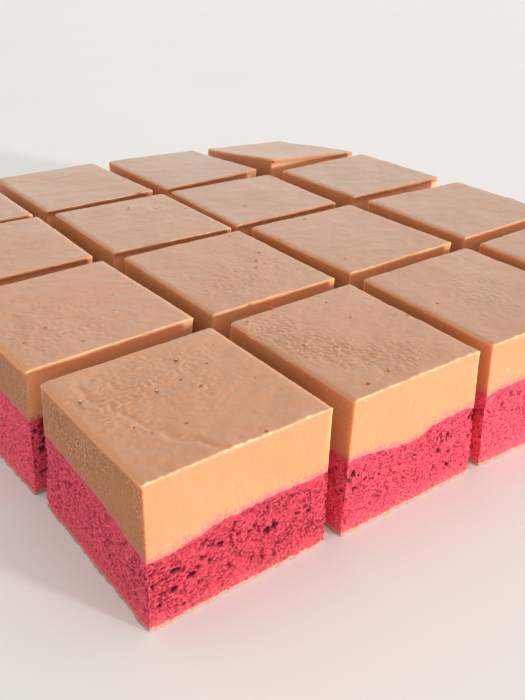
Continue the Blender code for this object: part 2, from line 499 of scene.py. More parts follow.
def sponge_pores(square, along, up, rng):
    """Depth maps of the four sides of a sponge."""
    maps = {}
    seed = 60 + 5 * square[0] + 31 * square[1]
    for side in SIDES:
        line = along[side[0]]
        warp = side_warp(line, up, side, seed)
        area = line[-1] * up[-1]
        if is_outer(square, side):
            density = 0.8 * (0.5 + 0.65 * POROSITY.get(square, USUAL_POROSITY))
            crowding = CROWDING.get((square, side), 1.0)
            depths = pore_map(line, up, rng, int(density * area), OUTER_PORES, warp, crowding)
        else:
            depths = pore_map(line, up, rng, int(INNER_DENSITY * area), INNER_PORES, warp)
        for share, height, width, tall in LARGE_HOLES.get(square, {}).get(side, ()):
            radii = (0.62 * width, 0.85 * tall)
            add_pore(depths, line, up, (share * line[-1], height), radii, 0.0, LARGE_HOLE_DEPTH, warp)
        maps[side] = depths
    return maps


def pore_depths(square, shares, lattice, counts):
    """How deep the pores are at each point of a sponge."""
    rng = np.random.default_rng(100 * square[0] + square[1])
    along = {"x": shares[1] * SPONGE_SIZE[1], "y": shares[0] * SPONGE_SIZE[0]}
    maps = sponge_pores(square, along, shares[2] * SPONGE_SIZE[2], rng)
    depth = np.zeros(len(lattice))
    for side, depths in maps.items():
        axis = AXES[side[0]]
        on = lattice[:, axis] == int(side[1]) * counts[axis]
        depth[on] = np.maximum(depth[on], depths[lattice[on, 1 - axis], lattice[on, 2]])
    return depth


def crumb_relief(points):
    """The unevenness of the cut crumb."""
    return (
        0.22 * noise(points, 7.0, 21)
        + 0.20 * noise(points, 2.1, 22)
        + 0.16 * noise(points, 0.95, 23)
        + 0.09 * noise(points, 0.5, 24)
    )


def corner_wear(points, places):
    """How far the upright corners of a sponge have crumbled away."""
    from_x = np.minimum(places[:, 0], SPONGE_SIZE[0] - places[:, 0])
    from_y = np.minimum(places[:, 1], SPONGE_SIZE[1] - places[:, 1])
    crumbling = np.clip(0.35 + 0.9 * noise(points, 1.9, 26) + 0.5 * noise(points, 0.9, 27), 0.0, 1.2)
    return 0.75 * crumbling * np.exp(-((np.hypot(from_x, from_y) / 1.1) ** 2))


def inside_box(points):
    """Points moved no further than the solids' own box."""
    low, high = (np.array(corner) / MM for corner in cad_box)
    return np.clip(points, low, high)


def sponge_block(square, lines, seam):
    """The fine mesh of one sponge."""
    counts = SPONGE_SPANS[square in NEAR_SQUARES]
    shares, lattice, polygons, places, facing = fine_block(
        SPONGE_SIZE, counts, cell_steps(square, *SPONGE_CAP_STEPS), SPONGE_ROUNDING, open_end=1
    )
    u, v, w = (places / SPONGE_SIZE).T
    seam_z = surface(seam, u, v)
    fray = seam_fray(across(lines, u, v, seam_z))
    z = w * seam_z + fray * smooth(0.55, 1.0, w)
    z[hidden_cap(lattice, facing, counts[2])] -= 0.4
    points = np.column_stack((across(lines, u, v, z), z))
    below_seam = seam_z + fray - z

    near_seam = smooth(0.0, 0.9, below_seam)
    depth = pore_depths(square, shares, lattice, counts) * near_seam
    rough = crumb_relief(points)
    torn_foot = smooth(1.5, 0.5, z) * (0.25 + 0.25 * noise(points * (1, 1, 0.2), 2.4, 25))
    on_side = np.abs(facing[:, :2]).max(axis=1)
    push = ((rough - 0.22) * (0.35 + 0.65 * near_seam) - depth - corner_wear(points, places)) * on_side
    push += torn_foot * on_side
    direction = facing * (1.0, 1.0, 0.35)
    points = inside_box(points + push[:, None] * direction)

    porosity = POROSITY.get(square, USUAL_POROSITY)
    darkness = min(0.6 + 0.4 * porosity, 1.0)
    # Painted light on the faces in the cuts and on the slab's -X face.
    pale = painted_light_share(square, facing, SPONGE_PAINTED_LIGHT)
    across_x = np.abs(facing[:, 0])
    attributes = {
        # Painted shade in the pores (pore, deep), fainter on the faces across x and where painted light is;
        # the torn crumb (open) is fainter across x too, so the shaded -X side comes out lighter.
        "pore": darkness * np.clip(depth / 0.33 - 0.6 * rough, 0.0, 1.0) * (1.0 - 0.5 * across_x),
        "deep": smooth(0.55, 0.85, depth) * (1.0 - 0.75 * pale),
        "open": porosity * (1.0 - 0.7 * across_x),
        "pale": pale,
        "height": z,
        "seam": below_seam,
    }
    return points, *polygons, attributes


# Mousse.

# The size that the lattice is laid out on.
MOUSSE_SIZE = np.array((47.0, 47.0, 16.0))
MOUSSE_ROUNDING = 0.5

# Wrinkled patches of skin: x, y, half length, half width, turn in degrees, strength, and whether they are a
# net of pebbles (1) or short waves (0).
WRINKLES = (
    (-80.0, -64.0, 20.0, 10.0, 5.0, 0.9, 0),
    (-90.0, -72.0, 9.0, 13.0, 0.0, 0.8, 0),
    (-70.0, -75.0, 12.0, 8.0, 20.0, 0.5, 0),
    (-36.0, -77.0, 20.0, 7.5, -55.0, 0.95, 1),
    (-42.0, -60.0, 9.0, 7.0, 0.0, 0.8, 1),
    (-25.0, -90.0, 9.0, 7.0, 0.0, 0.6, 1),
    (-28.0, -28.0, 20.0, 15.0, 20.0, 0.7, 0),
    (-82.0, -28.0, 20.0, 15.0, 10.0, 0.7, 0),
    (22.0, -80.0, 14.0, 12.0, 20.0, 0.5, 1),
    (70.0, -75.0, 14.0, 10.0, -30.0, 0.5, 0),
    (25.0, -20.0, 12.0, 9.0, 0.0, 0.3, 1),
    (-20.0, 30.0, 16.0, 12.0, 30.0, 0.5, 0),
    (-78.0, 26.0, 16.0, 12.0, 0.0, 0.5, 0),
    (70.0, 25.0, 12.0, 10.0, 0.0, 0.4, 1),
    (-75.0, 75.0, 14.0, 9.0, 60.0, 0.4, 0),
    (20.0, 75.0, 12.0, 9.0, 10.0, 0.35, 1),
)

# One soft crease in the skin of the near square.
CREASE = ((-92.5, -58.0), (-93.2, -64.7), (-87.7, -80.8), (-83.9, -90.2), (-79.4, -97.8))

# Burst bubbles, as small pits with painted shade: x, y, radius, depth. Whole ones are glossy domes: x, y,
# radius.
PITS = (
    (-70.5, -74.0, 0.45, 0.35),
    (-72.6, -68.7, 0.4, 0.3),
    (-63.6, -66.1, 0.35, 0.3),
    (-69.6, -96.8, 0.4, 0.35),
    (-81.2, -84.6, 0.35, 0.3),
    (-58.3, -78.0, 0.3, 0.25),
    (-42.9, -53.9, 0.5, 0.4),
    (-39.5, -72.6, 0.5, 0.4),
    (-39.2, -95.3, 0.5, 0.4),
    (-19.4, -67.9, 0.4, 0.35),
    (-18.5, -57.3, 0.35, 0.3),
    (-31.3, -93.8, 0.45, 0.4),
    (-11.8, -18.2, 0.5, 0.4),
    (-16.5, -22.8, 0.5, 0.4),
    (-19.8, -27.1, 0.55, 0.45),
    (-26.6, -25.9, 0.4, 0.35),
)
BUBBLES = (
    (-95.3, -64.1, 0.42),
    (-79.6, -70.1, 0.42),
    (-68.7, -60.6, 0.42),
    (6.0, -75.7, 0.38),
)

# More burst bubbles, strewn by a seeded rule: how many, and their usual and largest radius.
SCATTERED_PITS = 220
SCATTERED_RADII = (0.27, 0.5)


def scattered_pits():
    """The pits, and more of them strewn over all the tops."""
    rng = np.random.default_rng(5)
    usual, largest = SCATTERED_RADII
    pits = list(PITS)
    for _ in range(SCATTERED_PITS):
        x, y = rng.uniform(-100.0, 100.0, 2)
        radius = min(usual * math.exp(0.35 * rng.normal()), largest)
        pits.append((x, y, radius, radius * rng.uniform(0.4, 0.9)))
    return pits


def distance_to_path(xy, path):
    """Distance from points to a path of straight runs."""
    nearest = np.full(len(xy), 1e9)
    path = np.array(path)
    for start, end in zip(path[:-1], path[1:]):
        run = end - start
        share = np.clip((xy - start) @ run / (run @ run), 0.0, 1.0)
        nearest = np.minimum(nearest, np.linalg.norm(xy - start - share[:, None] * run, axis=1))
    return nearest


def wrinkle_masks(xy):
    """How strongly short waves and a net of pebbles show at each point."""
    masks = [np.zeros(len(xy)), np.zeros(len(xy))]
    for x, y, half_length, half_width, turn, strength, kind in WRINKLES:
        c, s = math.cos(math.radians(turn)), math.sin(math.radians(turn))
        dx, dy = xy[:, 0] - x, xy[:, 1] - y
        q = ((c * dx + s * dy) / half_length) ** 2 + ((c * dy - s * dx) / half_width) ** 2
        masks[kind] = np.maximum(masks[kind], strength * np.exp(-(q**1.5)))
    return masks


def skin_relief(xy, pits):
    """Rise and fall of the skin, and how much painted shade darkens its pits."""
    points = np.column_stack((xy, np.zeros(len(xy))))
    waves, net = wrinkle_masks(xy)
    bend = 1.3 * np.column_stack(
        (noise(points, 5.0, 71), noise(points, 5.0, 72), np.zeros(len(xy)))
    )
    patchy = 0.65 + 0.5 * noise(points, 6.0, 73)
    fine = 1.2 * np.abs(noise(points + 0.7 * bend, (2.1, 1.45, 1.0), 74)) - 0.38
    fine += 0.5 * noise(points + 0.7 * bend, (1.3, 0.85, 1.0), 75) + 0.2 * noise(points, 0.8, 95)
    first, second = cells_nearest(points + 0.7 * bend, 1.9, 76)
    pebbles = smooth(0.0, 0.4, second - first) - 0.6
    relief = 0.20 * noise(points, 17.0, 77) + 0.17 * noise(points + bend, (7.5, 4.5, 1.0), 78)
    ripples = noise(points + 0.4 * bend, (1.5, 1.0, 1.0), 91)
    relief += 0.075 * noise(points + bend, (3.0, 1.8, 1.0), 79) + 0.045 * ripples
    relief += waves * patchy * 0.46 * fine
    relief += net * patchy * (0.46 * pebbles + 0.2 * noise(points, 1.3, 80))
    away = distance_to_path(xy + 0.9 * bend[:, :2], CREASE)
    shallow = 0.6 + 0.4 * noise(points, 8.0, 93)
    relief += shallow * (0.12 * np.exp(-(((away - 2.0) / 1.2) ** 2)) - 0.28 * np.exp(-((away / 0.9) ** 2)))
    dark = np.zeros(len(xy))
    for x, y, radius, deep in pits:
        near = (np.abs(xy[:, 0] - x) < 4 * radius) & (np.abs(xy[:, 1] - y) < 4 * radius)
        if not near.any():
            continue
        q = np.hypot(xy[near, 0] - x, xy[near, 1] - y) / radius
        relief[near] += 0.3 * deep * np.exp(-(((q - 1.5) / 0.45) ** 2)) - deep * smooth(1.25, 0.5, q)
        # Painted shade in the pits.
        dark[near] = np.maximum(dark[near], 0.55 * smooth(1.25, 0.6, q))
    return relief, dark


# Spans along a mousse's width and depth: the nearer the camera, the finer.
MOUSSE_SPANS = {
    (1, 1): 176,
    (2, 1): 168,
    (1, 2): 128,
    (2, 2): 128,
    (3, 1): 96,
    (3, 2): 88,
    (1, 3): 88,
    (2, 3): 88,
}
FAR_SPANS = 64

# Spans up its height, for near squares and for the others.
MOUSSE_RISES = {True: 32, False: 24}

# Lattice points that the cells of the lower and the upper face span: the skin is finest.
MOUSSE_CAP_STEPS = (8, 1)

# How far the mousse's torn edge stays above the sponge's.
SEAM_CLEARANCE = 0.06

# Painted shade along the top of the -Y faces inside the cuts, where the light doesn't reach: the depths
# below the skin where it ends and where it is full, in the second row (False) and in the rows behind (True),
# and how dark it is in each row.
BRIM_SHADE_DEPTHS = {False: (1.7, 0.7), True: (3.2, 1.4)}
BRIM_SHADE_SHARE = (0.0, 0.65, 1.0, 1.0)

# How much the skin is painted greyer, a stand-in for the grazing sheen: more from the near corner to the far
# one, except here.
FAR_SHEEN_SHARES = {(4, 4): 0.3}


def side_relief(points, on_side, rough_side, dimples, below):
    """How far waves, streaks, grain, dimples and drag marks move a mousse's sides, and its band of skin."""
    streaks = noise(points, (2.2, 2.2, 30.0), 81) + 0.5 * noise(points, (0.9, 0.9, 18.0), 82)
    grain = noise(points, 1.0, 83)
    drag = noise(points, (1.2, 1.5, 0.8), 90) + 0.5 * noise(points, 0.6, 92)
    push = 0.10 * noise(points, 12.0, 88) + 0.018 * streaks + 0.035 * grain - 0.12 * dimples - 0.12
    push *= on_side
    push += rough_side * 0.10 * drag * smooth(0.8, 2.0, below)
    push += on_side * 0.10 * smooth(1.5, 1.1, below + 0.25 * noise(points, 2.5, 89))
    return push


def mousse_marks(square, facing, below, from_edge, ragged, rough_side):
    """Where a mousse has a partly painted orange glow along its edges, is knife-dragged, is painted lighter
    in the cuts, is painted darker on the first column's -X face and along the top of its -Y faces in the
    cuts, and is painted greyer as sheen.
    """
    leftward, forward = np.clip(-facing[:, :2], 0.0, 1.0).T
    first_column = square[0] == 1
    return {
        # Along the x edges: partly the skin's own lip, partly a painted glow of light through the edge.
        "peach_glow": (1.0 if first_column else 0.3) * smooth(1.7, 0.7, from_edge + 0.3 * ragged),
        "drag": rough_side * smooth(0.9, 2.0, below + 0.4 * ragged),
        # Painted shade on the first column's -X face.
        "dragged": leftward * float(first_column) * smooth(0.5, 2.0, below),
        # Painted light on the faces inside the cuts.
        "pale": painted_light_share(square, facing, MOUSSE_PAINTED_LIGHT),
        # Painted shade along the top of the -Y faces inside the cuts.
        "brim_shade": forward * BRIM_SHADE_SHARE[square[1] - 1] * smooth(*BRIM_SHADE_DEPTHS[square[1] > 2], below),
        # Painted sheen: greyer toward the far corner.
        "dry": np.full(len(facing), FAR_SHEEN_SHARES.get(square, (sum(square) - 2) / 6.0)),
    }


def mousse_block(square, lines, seam, top, pits):
    """The fine mesh of one mousse."""
    spans = MOUSSE_SPANS.get(square, FAR_SPANS)
    counts = (spans, spans, MOUSSE_RISES[square in NEAR_SQUARES])
    _, lattice, polygons, places, facing = fine_block(
        MOUSSE_SIZE, counts, cell_steps(square, *MOUSSE_CAP_STEPS), MOUSSE_ROUNDING, open_end=0
    )
    u, v, w = (places / MOUSSE_SIZE).T
    seam_z, top_z = surface(seam, u, v), surface(top, u, v)
    fray = seam_fray(across(lines, u, v, seam_z))
    low = seam_z + fray + SEAM_CLEARANCE
    z = (1.0 - w) * seam_z + w * top_z + (fray + SEAM_CLEARANCE) * smooth(0.45, 0.0, w)
    z[hidden_cap(lattice, facing, 0)] += 0.5
    points = np.column_stack((across(lines, u, v, z), z))

    relief, dark = skin_relief(points[:, :2], pits)
    upward = np.clip(facing[:, 2], 0.0, 1.0) ** 2
    upward[lattice[:, 2] == 0] = 0.0
    on_side = np.abs(facing[:, :2]).max(axis=1)
    below = top_z - z
    from_x = np.minimum(places[:, 0], MOUSSE_SIZE[0] - places[:, 0])
    edge_x, edge_y = np.hypot(from_x, below), np.hypot(places[:, 1], below)
    ragged = noise(points, 1.7, 85) + 0.6 * noise(points, 0.8, 86)
    outer = 1.0 if square[1] == 1 else 0.1
    # The raised lip along the -Y top edges of the first row; its colour is a painted highlight.
    lip = outer * np.exp(-((edge_y / 0.48) ** 2)) * np.clip(0.6 + 0.9 * ragged, 0.05, 1.2)
    chips = outer * smooth(0.35, 0.7, noise(points, 3.0, 87))
    rough_side = np.clip(-facing[:, 0], 0.0, 1.0) * (1.0 if square[0] == 1 else 0.25)
    rough_side = rough_side * np.clip(0.65 + 0.7 * noise(points, 6.0, 94), 0.1, 1.0)
    dimples = smooth(0.5, 0.75, noise(points, 1.5, 84))
    push = side_relief(points, on_side, rough_side, dimples, below)
    push += on_side * (0.18 * lip - 0.3 * chips * np.exp(-((below / 0.7) ** 2)))
    points = points + push[:, None] * facing * (1.0, 1.0, 0.4)
    fall = 0.30 * np.exp(-((edge_x / 0.8) ** 2))
    points[:, 2] += upward * (relief - 0.15) + 0.20 * lip * (1.0 - 0.8 * chips) - fall
    attributes = {
        # Painted shade in the pits, on the top only.
        "pit": dark * upward,
        "below": below,
        "seam": z - low,
        "side": on_side,
        "lip": lip,
        "dimple": dimples * on_side,
        **mousse_marks(square, facing, below, edge_x, ragged, rough_side),
    }
    return inside_box(points), *polygons, attributes


# Materials.


class Shader:
    """Adds nodes to one material and joins them."""

    def __init__(self, name):
        self.material = bpy.data.materials.new(name)
        self.material.use_nodes = True
        self.tree = self.material.node_tree
        self.principled = self.tree.nodes["Principled BSDF"]

    def join(self, source, socket):
        """Links a source to a socket, or sets the socket to a constant."""
        if isinstance(source, bpy.types.NodeSocket):
            self.tree.links.new(source, socket)
        elif isinstance(source, tuple) and len(source) == 3 and socket.type == "RGBA":
            socket.default_value = (*source, 1.0)
        else:
            socket.default_value = source

    def node(self, kind, output, settings=None, **inputs):
        """Adds a node and gives one of its outputs."""
        made = self.tree.nodes.new(kind)
        for key, value in (settings or {}).items():
            setattr(made, key, value)
        for key, value in inputs.items():
            self.join(value, made.inputs[key.replace("_", " ")])
        return made.outputs[output]

    def attribute(self, name):
        return self.node("ShaderNodeAttribute", "Fac", {"attribute_name": name})

    def place(self):
        return self.node("ShaderNodeTexCoord", "Object")

    def stretched(self, share):
        """The place with its height scaled, for upright or flat streaks."""
        made = self.tree.nodes.new("ShaderNodeMapping")
        self.join(self.place(), made.inputs["Vector"])
        made.inputs["Scale"].default_value = (1.0, 1.0, share)
        return made.outputs["Vector"]

    def noise(self, scale, detail=2.0, roughness=0.5, vector=None):
        return self.node(
            "ShaderNodeTexNoise",
            "Fac",
            Scale=scale,
            Detail=detail,
            Roughness=roughness,
            Vector=vector or self.place(),
        )

    def range(self, value, low, high, to_low=0.0, to_high=1.0):
        """A value's smooth way from low to high, as to_low to to_high."""
        made = self.tree.nodes.new("ShaderNodeMapRange")
        made.interpolation_type = "SMOOTHSTEP"
        for socket, source in zip(made.inputs[:5], (value, low, high, to_low, to_high)):
            self.join(source, socket)
        return made.outputs["Result"]

    def math(self, operation, first, second):
        made = self.tree.nodes.new("ShaderNodeMath")
        made.operation = operation
        self.join(first, made.inputs[0])
        self.join(second, made.inputs[1])
        return made.outputs["Value"]

    def plus(self, first, second, times):
        """The first value, and the second one that many times."""
        return self.math("ADD", first, self.math("MULTIPLY", second, times))

    def mix(self, share, first, second):
        made = self.tree.nodes.new("ShaderNodeMix")
        made.data_type = "RGBA"
        self.join(share, made.inputs["Factor"])
        self.join(first, made.inputs[6])
        self.join(second, made.inputs[7])
        return made.outputs[2]

    def tint(self, colour, name, strength, towards):
        """A colour moved towards another one where an attribute is high."""
        return self.mix(self.math("MULTIPLY", self.attribute(name), strength), colour, towards)

    def bump(self, height, distance, strength):
        return self.node("ShaderNodeBump", "Normal", Height=height, Distance=distance, Strength=strength)

    def finish(self, **inputs):
        """Sets the surface's inputs and gives the material."""
        for key, value in inputs.items():
            self.join(value, self.principled.inputs[key.replace("_", " ")])
        return self.material


# Colours of the mousse: its body, the band of skin at its sides, its faces in the light, and painted light
# in the cuts, painted shade on its -X face, in the cuts and in its pits, a painted glow, highlight, glints
# and sheen.
BODY_DARK = (0.50, 0.218, 0.092)
BODY_LIGHT = (0.56, 0.254, 0.115)
SKIN_BAND = (0.52, 0.232, 0.118)
# Painted light on the faces inside the cuts.
PAINTED_LIT_FACE = (0.82, 0.47, 0.26)
# Painted shade on the first column's -X face.
PAINTED_SHADE_LEFT_FACE = (0.41, 0.148, 0.048)
# Painted shade along the top of the -Y faces inside the cuts.
BRIM_SHADE_COLOUR = (0.26, 0.105, 0.048)
DIMPLE_TAN = (0.62, 0.33, 0.17)
DRAG_DARK = (0.22, 0.082, 0.030)
DRAG_LIGHT = (0.50, 0.210, 0.085)
# Painted glints on the grain.
SPECK_GLINT = (0.95, 0.66, 0.36)
NEAR_TOP = (0.55, 0.253, 0.126)
# Greyer top, a painted sheen toward the far corner.
FAR_SHEEN_TOP = (0.415, 0.233, 0.136)
# Orange edge colour, partly the skin's own lip and partly a painted glow of light through the edge.
PEACH_EDGE_GLOW = (0.66, 0.29, 0.13)
# Painted highlight on the lip.
LIP_HIGHLIGHT = (0.80, 0.47, 0.265)
FLECK_BROWN = (0.38, 0.17, 0.08)
# Painted shade in the pits.
PIT_SHADE_COLOUR = (0.20, 0.06, 0.02)
RASPBERRY_SMEAR = (0.62, 0.12, 0.135)


def drag_marks(shader, specks):
    """The rough face that the knife dragged, with golden specks painted as glints in patches."""
    marks = shader.mix(shader.range(specks, 0.38, 0.60), DRAG_DARK, DRAG_LIGHT)
    patches = shader.range(shader.noise(120.0), 0.42, 0.6)
    # Painted glints on the grain, in patches.
    golden = shader.math("MULTIPLY", shader.range(specks, 0.58, 0.66), patches)
    return shader.mix(golden, marks, SPECK_GLINT)


def seam_smear(shader, seam):
    """How much raspberry the knife drew up over the mousse, in upright streaks."""
    streaky = shader.noise(1500.0, 2.0, 0.65, shader.stretched(0.6))
    reach = shader.range(streaky, 0.35, 0.65, 0.4, 4.0)
    return shader.math("MULTIPLY", shader.range(shader.math("DIVIDE", seam, reach), 1.0, 0.2), 0.85)


def mousse_colour(shader, cloudy, grain, specks):
    """The mousse's colour: its sides with their painted light and shade, then its top with its painted
    sheen, its edges with their painted glow and highlight, flecks, the painted shade in its pits, and the
    smear.
    """
    body = shader.mix(cloudy, BODY_DARK, BODY_LIGHT)
    band = shader.range(shader.plus(shader.attribute("below"), cloudy, 1.2), 2.9, 2.1)
    colour = shader.mix(band, body, SKIN_BAND)
    # Painted light on the faces inside the cuts.
    colour = shader.tint(colour, "pale", 1.0, PAINTED_LIT_FACE)
    # Painted shade on the first column's -X face.
    colour = shader.tint(colour, "dragged", 0.85, PAINTED_SHADE_LEFT_FACE)
    # Painted shade along the top of the -Y faces inside the cuts.
    colour = shader.tint(colour, "brim_shade", 0.85, BRIM_SHADE_COLOUR)
    colour = shader.tint(colour, "dimple", 0.35, DIMPLE_TAN)
    # Knife-drag grain with painted glints.
    colour = shader.tint(colour, "drag", 0.8, drag_marks(shader, specks))
    # The top, painted greyer toward the far corner as sheen.
    top = shader.mix(shader.attribute("dry"), NEAR_TOP, FAR_SHEEN_TOP)
    colour = shader.mix(shader.range(shader.attribute("side"), 0.6, 0.0), colour, top)
    # Along the x edges: partly the skin's own lip, partly a painted glow of light through the edge.
    colour = shader.tint(colour, "peach_glow", 0.6, PEACH_EDGE_GLOW)
    # Painted highlight on the lip.
    colour = shader.tint(colour, "lip", 0.9, LIP_HIGHLIGHT)
    colour = shader.mix(shader.range(grain, 0.62, 0.75, 0.0, 0.25), colour, FLECK_BROWN)
    # Painted shade in the pits.
    colour = shader.tint(colour, "pit", 1.0, PIT_SHADE_COLOUR)
    return shader.mix(seam_smear(shader, shader.attribute("seam")), colour, RASPBERRY_SMEAR)


def mousse_material():
    """Milk chocolate mousse: satin skin on top, matt where the knife went through."""
    shader = Shader("milk_chocolate_mousse")
    side = shader.attribute("side")
    cloudy = shader.noise(45.0, 3.0)
    grain = shader.noise(900.0, 3.0, 0.6)
    specks = shader.noise(1500.0, 3.0, 0.75)
    roughness = shader.plus(shader.range(cloudy, 0.3, 0.7, 0.36, 0.46), side, 0.2)
    rough = shader.plus(shader.noise(1400.0, 2.0), grain, 0.6)
    rough = shader.plus(rough, shader.attribute("drag"), specks)
    unsmeared = shader.range(shader.attribute("seam"), 0.5, 4.0, 0.15, 1.0)
    return shader.finish(
        Base_Color=mousse_colour(shader, cloudy, grain, specks),
        Roughness=roughness,
        Normal=shader.bump(rough, 0.00008, shader.range(side, 0.0, 1.0, 0.55, 0.9)),
        IOR=1.45,
        Coat_Weight=shader.range(side, 0.0, 1.0, 0.36, 0.1),
        Coat_Roughness=0.22,
        Subsurface_Weight=shader.math("MULTIPLY", shader.range(side, 0.0, 1.0, 0.14, 0.9), unsmeared),
        Subsurface_Radius=(0.0075, 0.0036, 0.0017),
        Subsurface_Scale=1.0,
    )


# Colours of a bubble's film: its dark rim, and the painted highlight on its crown.
RIM_DARK = (0.08, 0.025, 0.01)
RIM_BROWN = (0.14, 0.045, 0.02)
CROWN_HIGHLIGHT = (0.80, 0.58, 0.42)


def bubble_material():
    """The thin dark glossy film of a bubble, with a painted highlight on its crown."""
    shader = Shader("chocolate_bubble")
    rim = shader.mix(shader.noise(900.0), RIM_DARK, RIM_BROWN)
    # Painted highlight on the crown.
    colour = shader.mix(shader.range(shader.attribute("rise"), 0.62, 0.9), rim, CROWN_HIGHLIGHT)
    return shader.finish(Base_Color=colour, Roughness=0.15, IOR=1.45)


# Colours of the sponge: its crumb, the torn and soaked parts, the painted light on its faces in the cuts and
# its -X face, the painted shade in its holes, and its baked base.
CRUMB_DEEP = (0.62, 0.038, 0.078)
CRUMB_BRIGHT = (0.80, 0.072, 0.126)
TISSUE = (0.90, 0.165, 0.22)
# Painted light on the faces in the cuts and on the slab's -X face.
PAINTED_LIT_CRUMB = (0.90, 0.075, 0.14)
PAINTED_LIT_FIBRE = (0.95, 0.24, 0.32)
TORN_CRUMB = (0.45, 0.032, 0.054)
FROSTED_FOOT = (0.78, 0.18, 0.17)
SOAKED_CRUMB = (0.52, 0.04, 0.085)
# Painted shade in the holes.
HOLE_SHADE = (0.16, 0.004, 0.014)
DEEP_HOLE_SHADE = (0.045, 0.001, 0.004)
BAKED_BASE = (0.52, 0.31, 0.23)


def sponge_holes(shader, pale, height):
    """The smallest holes of the crumb, which carry painted shade: none at the seam, fainter near the base
    and where painted light is.
    """
    squiggles = shader.noise(1450.0, 2.0, 0.55, shader.stretched(1.35))
    level = shader.math("SUBTRACT", squiggles, shader.math("MULTIPLY", shader.attribute("open"), 0.06))
    patches = shader.range(shader.noise(300.0), 0.35, 0.6, 0.45, 1.0)
    holes = shader.math("MULTIPLY", shader.range(level, 0.45, 0.38), patches)
    holes = shader.math("MULTIPLY", holes, shader.range(height, 0.5, 7.0, 0.5, 0.9))
    holes = shader.math("MULTIPLY", holes, shader.range(pale, 0.0, 1.0, 1.0, 0.85))
    return shader.math("MULTIPLY", holes, shader.range(shader.attribute("seam"), 0.0, 0.9))


def sponge_colour(shader, fine, pale, height, holes):
    """The sponge's colour: its crumb with its painted light, then its foot, the soaked seam, the painted
    shade in its holes and its baked base.
    """
    cloudy = shader.noise(160.0, 4.0, 0.6)
    colour = shader.mix(cloudy, CRUMB_DEEP, CRUMB_BRIGHT)
    colour = shader.mix(shader.range(fine, 0.48, 0.66, 0.0, 0.65), colour, TISSUE)
    # Painted light on the faces in the cuts and on the slab's -X face, with lighter fibres there.
    colour = shader.mix(pale, colour, PAINTED_LIT_CRUMB)
    fibres = shader.math("MULTIPLY", pale, shader.range(fine, 0.5, 0.62, 0.0, 0.7))
    colour = shader.mix(fibres, colour, PAINTED_LIT_FIBRE)
    colour = shader.tint(colour, "open", 0.6, TORN_CRUMB)
    foot = shader.range(shader.plus(height, cloudy, 5.0), 8.0, 2.5, 0.0, 0.3)
    colour = shader.mix(foot, colour, FROSTED_FOOT)
    soaked = shader.range(shader.plus(shader.attribute("seam"), fine, 1.6), 2.4, 0.8)
    colour = shader.mix(shader.math("MULTIPLY", soaked, 0.2), colour, SOAKED_CRUMB)
    # Painted shade in the holes.
    colour = shader.mix(shader.math("MAXIMUM", shader.attribute("pore"), holes), colour, HOLE_SHADE)
    colour = shader.mix(shader.attribute("deep"), colour, DEEP_HOLE_SHADE)
    base = shader.range(shader.plus(height, fine, 1.2), 1.9, 1.3, 0.0, 0.9)
    return shader.mix(base, colour, BAKED_BASE)


def sponge_material():
    """Raspberry sponge: matt, porous, with painted shade in its holes, paler on its foot."""
    shader = Shader("raspberry_sponge")
    height, pale = shader.attribute("height"), shader.attribute("pale")
    fine = shader.noise(1700.0, 3.0, 0.7)
    holes = sponge_holes(shader, pale, height)
    depth = shader.math("SUBTRACT", shader.noise(1300.0, 3.0, 0.65), holes)
    return shader.finish(
        Base_Color=sponge_colour(shader, fine, pale, height, holes),
        Roughness=0.82,
        Normal=shader.bump(depth, 0.0003, 1.0),
        IOR=1.35,
        Subsurface_Weight=0.35,
        Subsurface_Radius=(0.0030, 0.0006, 0.0009),
        Subsurface_Scale=1.0,
    )


def floor_material():
    """A pale matt floor, faintly cloudy."""
    shader = Shader("pale_floor")
    colour = shader.mix(shader.noise(9.0, 3.0), (0.775, 0.785, 0.80), (0.81, 0.82, 0.835))
    return shader.finish(Base_Color=colour, Roughness=0.7)


# Crumbs and bubbles.

# Height of the skin under the bubbles.
BUBBLE_HEIGHT = 37.45

# Sponge crumbs left on the tops and edges: x, y, z, radius.
CRUMBS = (
    (-10.3, 52.3, 37.8, 0.55),
    (51.6, 55.6, 39.0, 0.6),
    (-32.8, -51.3, 37.6, 0.45),
)

# What the sponge's material reads on a crumb.
CRUMB_ATTRIBUTES = {"pore": 0.1, "height": 9.0, "seam": 9.0, "open": 0.5, "deep": 0.0, "pale": 0.0}


def crumb(name, place, radius, seed):
    """One knobbly crumb."""
    bm = bmesh.new()
    bmesh.ops.create_icosphere(bm, subdivisions=3, radius=1.0)
    shape = np.array([vert.co for vert in bm.verts])
    rise = 1.0 + 0.35 * noise(shape * 3.0, 2.0, seed) + 0.2 * noise(shape * 3.0, 0.9, seed + 1)
    shape = shape * rise[:, None] * radius * (1.2, 0.9, 0.8) + place
    for vert, point in zip(bm.verts, shape):
        vert.co = point * MM
    mesh = bpy.data.meshes.new(name)
    bm.to_mesh(mesh)
    bm.free()
    return add_piece(name, mesh, CRUMB_ATTRIBUTES)


